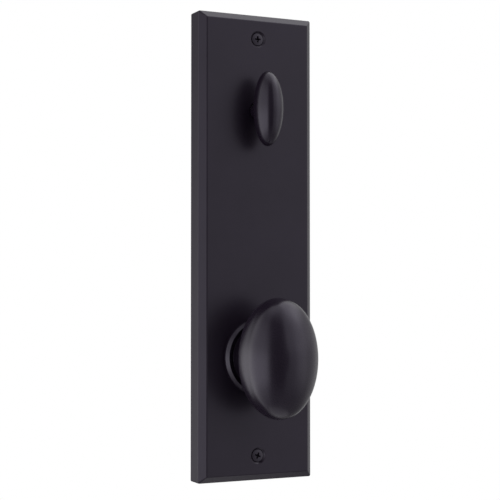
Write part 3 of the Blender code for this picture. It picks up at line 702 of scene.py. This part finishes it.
def make_shank():
    """The keyed journal behind, the foot that flares in the collar's dish, and the post."""
    node = "knob_shank"
    end, top = back(node), front(node)
    foot = half_width(node)
    foot_low = front("knob_collar") - COLLAR_DISH + GAP
    neck_top = back("egg_knob") - GAP
    neck = SHANK_RADIUS + 0.4 * MM
    post = KNOB_BORE_RADIUS - GAP
    rim = foot_low + 0.8 * MM
    flare_top = neck_top - 0.9 * MM
    flare = []
    steps = 16
    for i in range(1, steps + 1):
        a = math.pi / 2 * i / steps
        radius = foot - (foot - neck) * math.sin(a)
        flare.append((radius, rim + (flare_top - rim) * (1 - math.cos(a))))
    profile = [
        (0, end),
        (SHANK_RADIUS, end, 0.4 * MM),
        (SHANK_RADIUS, SHANK_GROOVE[0]),
        (SHANK_GROOVE_RADIUS, SHANK_GROOVE[0]),
        (SHANK_GROOVE_RADIUS, SHANK_GROOVE[1]),
        (SHANK_RADIUS, SHANK_GROOVE[1]),
        (SHANK_RADIUS, foot_low),
        (foot, foot_low, 0.2 * MM),
        (foot, rim, 0.25 * MM),
        *flare,
        (neck, neck_top, 0.3 * MM),
        (post, neck_top),
        (post, top, 0.4 * MM),
        (0, top),
    ]
    shank = turned(eased(profile, closed=False), FINE)
    half = half_width("knob_spindle") + GAP
    below = end - 1 * MM
    socket = block((-half, half), (below, front("knob_spindle") + GAP), (-half, half))
    slot = KEY_HALF_WIDTH + GAP
    slot_z = (SHANK_RADIUS - KEY_DEPTH - GAP, SHANK_RADIUS + 1 * MM)
    keyway = block((-slot, slot), (below, front("drive_cam") + GAP), slot_z)
    hole = rod(half_width("knob_set_screw") + GAP, 2 * MM, foot)
    hole = moved(hole, rotation=DOWN, height=PLATE_FRONT + SET_SCREW_HEIGHT)
    finished(node, cut(shank, socket, keyway, hole), KNOB_AXIS)


def make_set_screw():
    node = "knob_set_screw"
    radius = half_width(node)
    low = half_width("knob_spindle") + GAP
    high = low + 2 * half_height(node)
    pitch = 0.5 * MM

    def thread(r, height, degrees):
        ridge = abs((height / pitch - degrees / 360) % 1 - 0.5) * 2
        inner = low + 0.6 * MM < height < high - 0.3 * MM
        return (r - 0.16 * MM * ridge, height) if inner else (r, height)

    rows = 8 * round((high - low) / pitch)
    profile = [(0, low), (radius * 0.6, low), (radius * 0.8, low + 0.4 * MM)]
    for i in range(rows + 1):
        profile.append((radius, low + 0.5 * MM + (high - low - 0.7 * MM) * i / rows))
    profile += [(radius * 0.9, high), (0, high)]
    screw = turned(profile, 24, thread)
    screw = cut(screw, rod(0.75 * MM, high - 1.8 * MM, high + 1 * MM, 6))
    height = PLATE_FRONT + SET_SCREW_HEIGHT
    finished(node, moved(screw, rotation=DOWN, height=height), KNOB_AXIS)


def make_spindle():
    """The square spindle, with eased edges, a bevelled end and a row of stake marks."""
    node = "knob_spindle"
    half = half_width(node)
    ease = 0.45 * MM
    tapered = [
        (1.6 * MM, back(node)),
        (0, back(node) + 2.4 * MM, 0.5 * MM),
        (0, front(node) - 0.6 * MM, 0.3 * MM),
        (0.6 * MM, front(node)),
    ]
    spindle = prism(eased(tapered, closed=False), half, half, ease)
    marks = []
    for i in range(3):
        height = back(node) + (9 + 7 * i) * MM
        for side in (1, -1):
            notch = rod(0.9 * MM, -0.8 * MM, 0.8 * MM, 20)
            marks.append(moved(notch, side * half * 1.12, 0, height, ACROSS))
    finished(node, cut(spindle, *marks), KNOB_AXIS)


def make_collar():
    node = "knob_collar"
    radius, top = half_width(node), front(node)
    base = PLATE_FRONT + GAP
    dish = top - COLLAR_DISH
    chamfer_across, chamfer_along = COLLAR_CHAMFER
    shoulder = radius - chamfer_across
    lip = shoulder - COLLAR_LIP
    profile = [
        (COLLAR_SPIGOT_RADIUS, back(node), 0.3 * MM),
        (COLLAR_SPIGOT_RADIUS, base),
        (radius, base, 0.12 * MM),
        (radius, top - chamfer_along, 0.8 * MM),
        (shoulder, top, 0.12 * MM),
        (lip, top, 0.15 * MM),
        (lip - 0.4 * MM, dish, 0.5 * MM),
        (COLLAR_BORE_RADIUS, dish, 0.25 * MM),
        (COLLAR_BORE_RADIUS, back(node)),
    ]
    finished(node, turned(eased(profile), 160), KNOB_AXIS)


def ring(node, inner, outer, ease, at, warp=None):
    """A flat ring with rounded edges that fills the node's height."""
    low, high = back(node), front(node)
    profile = [(inner, low, ease), (outer, low, ease), (outer, high, ease), (inner, high, ease)]
    finished(node, turned(eased(profile, steps=3), PLAIN, warp), at)


# ---- Return spring cassette ----


def from_bottom(degrees):
    """How many degrees an angle is from straight down, at most 180."""
    return abs((degrees + 90 + 180) % 360 - 180)


def from_top(degrees):
    return abs((degrees - 90 + 180) % 360 - 180)


def make_housing():
    """The pressed cup that holds the return spring, with the cam's two stops."""
    node = "spring_housing"
    radius, rim, top = half_width(node), back(node), front(node)
    inside, floor = radius - HOUSING_WALL, top - HOUSING_WALL
    hole = SHANK_RADIUS + 0.5 * MM
    profile = [
        (hole, top, 0.2 * MM),
        (radius, top, 1.2 * MM),
        (radius, rim, 0.3 * MM),
        (inside, rim, 0.3 * MM),
        (inside, floor, 0.6 * MM),
        (hole, floor),
    ]
    housing = turned(eased(profile), PLAIN)
    radii = (CAM_RING_RADIUS + 0.4 * MM, inside + HOUSING_WALL / 2)
    heights = (back("drive_cam"), floor + HOUSING_WALL / 2)
    stops = []
    for side in (1, -1):
        near = -90 + side * STOP_ANGLE
        angles = sorted((near, near + side * STOP_WIDTH_ANGLE))
        stops.append(softened(arc_block(radii, heights, angles, 6), 0.2 * MM))
    finished(node, joined(housing, *stops), KNOB_AXIS)


def make_cover():
    """The cassette's cover: a pressed disc with three ears and a tab between the spring's legs."""
    node = "spring_cover"
    low = back(node)
    high = back("spring_housing") - GAP
    radius = half_width("spring_housing")
    centres = [Vector((x, z - KNOB_AXIS.z)) for x, z in post_places()]

    def ears(r, height, degrees):
        if r < radius - 1 * MM:
            return r, height
        reach = radius
        for centre in centres:
            off = math.radians(degrees) - math.atan2(centre.y, centre.x)
            across = centre.length * math.sin(off)
            if math.cos(off) > 0 and abs(across) < EAR_RADIUS:
                there = centre.length * math.cos(off) + math.sqrt(EAR_RADIUS**2 - across**2)
                reach = max(reach, there)
        return r + reach - radius, height

    inner = SHANK_RADIUS + 0.4 * MM
    ease = 0.2 * MM
    profile = [(inner, low, ease), (radius, low, ease), (radius, high, ease), (inner, high, ease)]
    cover = turned(eased(profile, steps=3), 180, ears)
    tab_angles = (-90 - CAM_ARM_HALF_ANGLE, -90 + CAM_ARM_HALF_ANGLE)
    tab_radii = (SPRING_LEG_RADIUS - 0.6 * MM, SPRING_LEG_RADIUS + 0.7 * MM)
    tab = arc_block(tab_radii, (high - 0.5 * MM, front(node)), tab_angles, 10)
    cover = joined(cover, softened(tab, 0.2 * MM))
    holes = []
    for x, z in post_places():
        hole = rod(CASSETTE_SCREW_RADIUS + GAP, low - 1 * MM, high + 1 * MM)
        holes.append(moved(hole, x, z - KNOB_AXIS.z))
    finished(node, cut(cover, *holes), KNOB_AXIS)


def make_cassette_screw(node, turn):
    """A pan-head screw with a cross recess."""
    low, high = back(node), front(node)
    head = half_width(node)
    seat = back("spring_cover") - GAP
    profile = [
        (0, low),
        (head * 0.55, low + 0.05 * MM, 1 * MM),
        (head, seat - 0.55 * MM, 0.3 * MM),
        (head, seat, 0.1 * MM),
        (CASSETTE_SCREW_RADIUS, seat),
        (CASSETTE_SCREW_RADIUS, high - 0.5 * MM),
        (0, high),
    ]
    screw = turned(eased(profile, closed=False), SMALL)
    screw = cut(screw, cross(1.4 * MM, 0.34 * MM, low - 0.3 * MM, seat - 0.3 * MM, 0.6))
    place = middle(node)
    finished(node, moved(screw, rotation=about_axis(turn)), (place.x, 0, place.z))


def make_cam():
    """The cam: a stamped ring with a key for the shank and an arm for the spring."""
    node = "drive_cam"
    low, high = back(node), front(node)
    inner = SHANK_RADIUS + GAP
    key = SHANK_RADIUS - KEY_DEPTH
    key_angle = math.degrees(KEY_HALF_WIDTH / SHANK_RADIUS)

    def arm_and_key(r, height, degrees):
        if r > CAM_RING_RADIUS - 0.5 * MM and from_bottom(degrees) < CAM_ARM_HALF_ANGLE:
            return r + CAM_ARM_RADIUS - CAM_RING_RADIUS, height
        if r < inner + 0.5 * MM and from_top(degrees) < key_angle:
            return r + key - inner, height
        return r, height

    ease = 0.15 * MM
    profile = [(inner, low, ease), (CAM_RING_RADIUS, low, ease)]
    profile += [(CAM_RING_RADIUS, high, ease), (inner, high, ease)]
    finished(node, turned(eased(profile, steps=3), 240, arm_and_key), KNOB_AXIS)


def make_spring():
    """The wire: up one leg, round the coil and up the other leg."""
    node = "return_spring"
    top = front(node)
    bottom = back(node) + SPRING_WIRE_RADIUS
    start = -90 + SPRING_LEG_ANGLE
    sweep = 360 * SPRING_TURNS - 2 * SPRING_LEG_ANGLE
    bend = 10.0  # degrees of coil in which a leg comes in to the coil's radius

    def point(radius, height, degrees):
        a = math.radians(degrees)
        return Vector((radius * math.cos(a), -height, radius * math.sin(a)))

    coil = []
    steps = 60 * SPRING_TURNS
    for i in range(steps + 1):
        turn = sweep * i / steps
        out = max(0, 1 - min(turn, sweep - turn) / bend) ** 2
        radius = SPRING_RADIUS + (SPRING_LEG_RADIUS - SPRING_RADIUS) * out
        height = bottom + SPRING_PITCH * SPRING_TURNS * i / steps
        coil.append(point(radius, height, start + turn))
    first = point(SPRING_LEG_RADIUS, top, start)
    last = point(SPRING_LEG_RADIUS, top, start + sweep)
    first_knee = point(SPRING_LEG_RADIUS, bottom + 0.5 * MM, start)
    top_knee = bottom + SPRING_PITCH * SPRING_TURNS + 0.5 * MM
    last_knee = point(SPRING_LEG_RADIUS, top_knee, start + sweep)
    path = [first, first_knee, *coil[1:-1], last_knee, last]
    curve = bpy.data.curves.new(node, "CURVE")
    curve.dimensions = "3D"
    curve.bevel_depth = SPRING_WIRE_RADIUS
    curve.bevel_resolution = 4
    curve.use_fill_caps = True
    spline = curve.splines.new("POLY")
    spline.points.add(len(path) - 1)
    for target, place in zip(spline.points, path):
        target.co = (*place, 1)
    finished(node, curve, KNOB_AXIS)


def make_clip(node, inner, gap_angle, hole, at):
    """An open retaining ring with an eyed ear at each end."""
    outer, low, high = half_width(node), back(node), front(node)
    ear = (outer - inner) / 2 - 0.02 * MM
    band = outer - (outer - inner) * 0.28
    ends = (-90 + gap_angle / 2, 270 - gap_angle / 2)
    clip = arc_block((inner, band), (low, high), ends, 72)
    ears, holes = [], []
    for end, inward in zip(ends, (1, -1)):
        a = math.radians(end + inward * math.degrees(ear / outer))
        x, z = (outer - ear) * math.cos(a), (outer - ear) * math.sin(a)
        ears.append(moved(rod(ear, low, high), x, z))
        holes.append(moved(rod(hole, low - 1 * MM, high + 1 * MM, 24), x, z))
    clip = cut(joined(clip, *ears), *holes)
    finished(node, clip, at)


# ---- Thumb turn ----


def make_thumb_turn():
    node = "thumb_turn"
    half_x, half_z = half_width(node), half_height(node)
    widest = front(node) - TURN_NOSE
    neck_end = back(node)
    neck = TURN_NECK_RADIUS
    start = math.asin((neck - 0.6 * MM) / half_x)
    bore_end = front("turn_shaft") + GAP
    sections = [(TURN_BORE_RADIUS, TURN_BORE_RADIUS, h) for h in (bore_end, neck_end)]
    sections = [(0, 0, bore_end), *sections]
    neck_top = widest - TURN_REAR * math.cos(start) - 0.5 * MM
    ease = 0.3 * MM
    for r, h in ((neck - ease, neck_end), (neck, neck_end + ease), (neck, neck_top - 1 * MM)):
        sections.append((r, r, h))
    steps = 64
    for i in range(steps + 1):
        a = start + (math.pi - start) * i / steps
        scale = math.sin(a) if i < steps else 0
        depth = TURN_REAR if a < math.pi / 2 else TURN_NOSE
        height = widest - depth * math.cos(a)
        sections.append((half_x * scale, half_z * scale, height))
    finished(node, oval(sections, FINE), TURN_AXIS)


def make_turn_shaft():
    """The shaft: a post in the grip, a journal with the clip's groove, and the blade's slot."""
    node = "turn_shaft"
    end, top = back(node), front(node)
    post = TURN_BORE_RADIUS - GAP
    journal = half_width(node)
    journal_top = back("thumb_turn") - GAP
    clip_low, clip_high = back("turn_retaining_clip") - GAP, front("turn_retaining_clip") + GAP
    profile = [
        (0, end),
        (journal, end, 0.4 * MM),
        (journal, clip_low),
        (TURN_GROOVE_RADIUS, clip_low),
        (TURN_GROOVE_RADIUS, clip_high),
        (journal, clip_high),
        (journal, journal_top, 0.2 * MM),
        (post, journal_top),
        (post, top, 0.4 * MM),
        (0, top),
    ]
    shaft = turned(eased(profile, closed=False), PLAIN)
    across = half_width("turn_blade") + GAP
    along = half_height("turn_blade") + GAP
    slot = block((-across, across), (end - 1 * MM, front("turn_blade") + GAP), (-along, along))
    pin = middle("turn_blade_pin")
    hole = rod(PIN_RADIUS + GAP, -journal - 1 * MM, journal + 1 * MM)
    hole = moved(hole, rotation=ACROSS, height=-pin.y)
    finished(node, cut(shaft, slot, hole), TURN_AXIS)


def make_blade():
    """The flat blade, with eased edges, a pointed end and score lines to snap it to length."""
    node = "turn_blade"
    across, along = half_width(node), half_height(node)
    low, high = back(node), front(node)
    tip = [(along * 0.35, low), (along, low + 2.2 * MM), (along, high), (-along, high)]
    tip += [(-along, low + 2.2 * MM), (-along * 0.35, low)]
    blade = skin([[(x, -h, z) for z, h in tip] for x in (-across, across)])
    blade = softened(blade, 0.2 * MM)
    tools = []
    for i in range(5):
        height = low + (6 + 5 * i) * MM
        for side in (1, -1):
            line = rod(0.45 * MM, -along - 1 * MM, along + 1 * MM, 12)
            tools.append(moved(line, side * (across + 0.2 * MM), 0, height, DOWN))
    pin = middle("turn_blade_pin")
    hole = rod(PIN_RADIUS + GAP, -across - 1 * MM, across + 1 * MM)
    tools.append(moved(hole, rotation=ACROSS, height=-pin.y))
    finished(node, cut(blade, *tools), TURN_AXIS)


def make_blade_pin():
    node = "turn_blade_pin"
    reach = half_width(node)
    dome = 0.25 * MM
    profile = [(0, -reach), (PIN_RADIUS, -reach, dome), (PIN_RADIUS, reach, dome), (0, reach)]
    pin = turned(eased(profile, closed=False), SMALL)
    finished(node, moved(pin, rotation=ACROSS, height=-middle(node).y), TURN_AXIS)


def make_turn_bushing():
    node = "turn_bushing"
    inner = TURN_NECK_RADIUS + GAP
    flange = half_width(node)
    flange_top = PLATE_INSIDE - GAP
    profile = [
        (inner, back(node), 0.3 * MM),
        (flange, back(node), 0.3 * MM),
        (flange, flange_top, 0.3 * MM),
        (BUSHING_RADIUS, flange_top),
        (BUSHING_RADIUS, front(node), 0.2 * MM),
        (inner, front(node), 0.2 * MM),
    ]
    finished(node, turned(eased(profile), PLAIN), TURN_AXIS)


def make_wave_washer():
    """Its three waves fill the node's height."""
    node = "turn_wave_washer"
    wave = 0.5 * MM
    mid = (back(node) + front(node)) / 2
    half = (front(node) - back(node)) / 2 - wave
    inner, outer = TURN_NECK_RADIUS + GAP, half_width(node)

    def waves(r, height, degrees):
        return r, height + wave * math.sin(math.radians(3 * degrees))

    ease = 0.1 * MM
    profile = [(inner, mid - half, ease), (outer, mid - half, ease)]
    profile += [(outer, mid + half, ease), (inner, mid + half, ease)]
    finished(node, turned(eased(profile, steps=3), PLAIN, waves), TURN_AXIS)


# ---- Studio and camera ----

# Soft light panels round the trim: (azimuths, elevations, edge softnesses, brightness). Angles are
# in degrees, from straight in front of the plate, to the right, and up.
AMBIENT = 0.12
SKY_ENDS = (91, 180)  # angles at which the sky ends or closes, so that a panel has no edge there
PANELS = [
    ((-146, -54), (-46, 42), (13, 50), 0.95),  # the large box at the left
    ((-156, -54), (-30, 5), (12, 14), 0.70),  # its brighter middle
    ((-4, 28), (-35, 60), (6, 40), 0.47),  # the near part of the right wall
    ((28, 68), (-30, 60), (16, 40), 0.90),
    ((68, 165), (-30, 60), (20, 40), 0.50),
    ((-4, 90), (8, 58), (10, 16), 0.28),
    ((-180, 180), (58, 91), (0, 28), 0.85),  # overhead
    ((18, 179), (50, 91), (28, 30), 0.85),
    ((50, 120), (34, 56), (24, 20), 1.00),
    ((-180, 180), (-91, -38), (0, 30), 0.18),  # light back from the floor
]


def math_node(tree, operation, first, second=0.0):
    """The result of one sum on values or sockets."""
    inputs = {0: first, 1: second}
    return add(tree, "ShaderNodeMath", inputs, operation=operation).outputs[0]


def window(tree, value, span, softness):
    """A list of soft steps that are 1 inside a span of angles. An end of the sky needs no step."""
    steps = []
    for edge, outside, inside in ((span[0], 0.0, 1.0), (span[1], 1.0, 0.0)):
        if abs(edge) in SKY_ENDS:
            continue
        inputs = {"Value": value, "To Min": outside, "To Max": inside}
        inputs.update({"From Min": edge - softness / 2, "From Max": edge + softness / 2})
        step = add(tree, "ShaderNodeMapRange", inputs, interpolation_type="SMOOTHSTEP")
        steps.append(step.outputs[0])
    return steps


def panel_light(tree, azimuth, elevation):
    """The brightness that the panels give in a direction."""
    total = AMBIENT
    for azimuths, elevations, softness, brightness in PANELS:
        level = brightness
        steps = window(tree, azimuth, azimuths, softness[0])
        steps += window(tree, elevation, elevations, softness[1])
        for step in steps:
            level = math_node(tree, "MULTIPLY", step, level)
        total = math_node(tree, "ADD", level, total)
    return total


def make_world():
    """A white backdrop for the camera, and the panels for everything else."""
    world = bpy.data.worlds.new("studio")
    world.use_nodes = True
    tree = world.node_tree
    tree.nodes.clear()
    direction = add(tree, "ShaderNodeTexCoord").outputs["Generated"]
    x, y, z = add(tree, "ShaderNodeSeparateXYZ", {0: direction}).outputs
    towards = math_node(tree, "MULTIPLY", y, -1.0)
    azimuth = math_node(tree, "DEGREES", math_node(tree, "ARCTAN2", x, towards))
    elevation = math_node(tree, "DEGREES", math_node(tree, "ARCSINE", z))
    brightness = panel_light(tree, azimuth, elevation)
    lights = add(tree, "ShaderNodeBackground", {"Strength": brightness})
    paper = add(tree, "ShaderNodeBackground", {"Strength": 1.0})
    for background in (lights, paper):
        background.inputs["Color"].default_value = (1, 1, 1, 1)
    seen = add(tree, "ShaderNodeLightPath").outputs["Is Camera Ray"]
    mix = add(tree, "ShaderNodeMixShader", {0: seen, 1: lights.outputs[0], 2: paper.outputs[0]})
    add(tree, "ShaderNodeOutputWorld", {0: mix.outputs[0]})
    bpy.context.scene.world = world


FLOOR_RADIUS = 0.25
FLOOR_HEIGHT = -0.6


def make_floor():
    """A pale floor, far enough below the trim to stay out of the camera's view."""
    material, tree, shader, place = new_material("pale_floor", Roughness=0.6)
    colour = tint(tree, noise(tree, place, 3, 2), (0.78, 0.78, 0.77), (0.82, 0.82, 0.81))
    tree.links.new(colour, shader.inputs["Base Color"])
    edge = []
    for i in range(PLAIN):
        a = 2 * math.pi * i / PLAIN
        edge.append((FLOOR_RADIUS * math.cos(a), FLOOR_RADIUS * math.sin(a)))
    mesh = skin([[(x, y, z) for x, y in edge] for z in (-0.01, 0)])
    mesh.materials.append(material)
    floor = bpy.data.objects.new("floor", mesh)
    floor.location = (0, 0, FLOOR_HEIGHT)
    bpy.context.scene.collection.objects.link(floor)


CAMERA_AZIMUTH = math.radians(-25.56)
CAMERA_DISTANCE = 0.76265
CAMERA_HEIGHT = -0.024
CAMERA_AIM = math.radians(25.686)
CAMERA_TILT = math.radians(1.68)
CAMERA_LENS = 94.46


def make_camera():
    data = bpy.data.cameras.new("camera")
    data.lens = CAMERA_LENS
    data.sensor_width = 36
    data.clip_start = 0.01
    camera = bpy.data.objects.new("camera", data)
    across, towards = math.sin(CAMERA_AZIMUTH), -math.cos(CAMERA_AZIMUTH)
    camera.location = (CAMERA_DISTANCE * across, CAMERA_DISTANCE * towards, CAMERA_HEIGHT)
    level = math.cos(CAMERA_TILT)
    ahead = (math.sin(CAMERA_AIM) * level, math.cos(CAMERA_AIM) * level)
    aim = Vector((*ahead, math.sin(CAMERA_TILT)))
    camera.rotation_euler = aim.to_track_quat("-Z", "Y").to_euler()
    bpy.context.scene.collection.objects.link(camera)
    bpy.context.scene.camera = camera


make_plate()
for screw, quarter in zip(plate_screws(), (22, 0)):
    make_plate_screw(screw, quarter)
make_collar()
ring("knob_bushing", SHANK_RADIUS + GAP, COLLAR_BORE_RADIUS - GAP, 0.2 * MM, KNOB_AXIS)
make_housing()
make_cover()
for screw, quarter in zip(cassette_screws(), (10, 52, 77)):
    make_cassette_screw(screw, quarter)
make_spring()
make_knob()
make_shank()
make_set_screw()
make_spindle()
make_cam()
ring("thrust_washer", SHANK_RADIUS + GAP, half_width("thrust_washer"), 0.15 * MM, KNOB_AXIS)
make_clip("shank_retaining_ring", SHANK_GROOVE_RADIUS + GAP, 60, 0.7 * MM, KNOB_AXIS)
make_turn_bushing()
make_thumb_turn()
make_turn_shaft()
make_blade()
make_blade_pin()
make_wave_washer()
make_clip("turn_retaining_clip", TURN_GROOVE_RADIUS + GAP, 70, 0.55 * MM, TURN_AXIS)
make_world()
make_floor()
make_camera()
bpy.context.scene.view_settings.view_transform = "Standard"
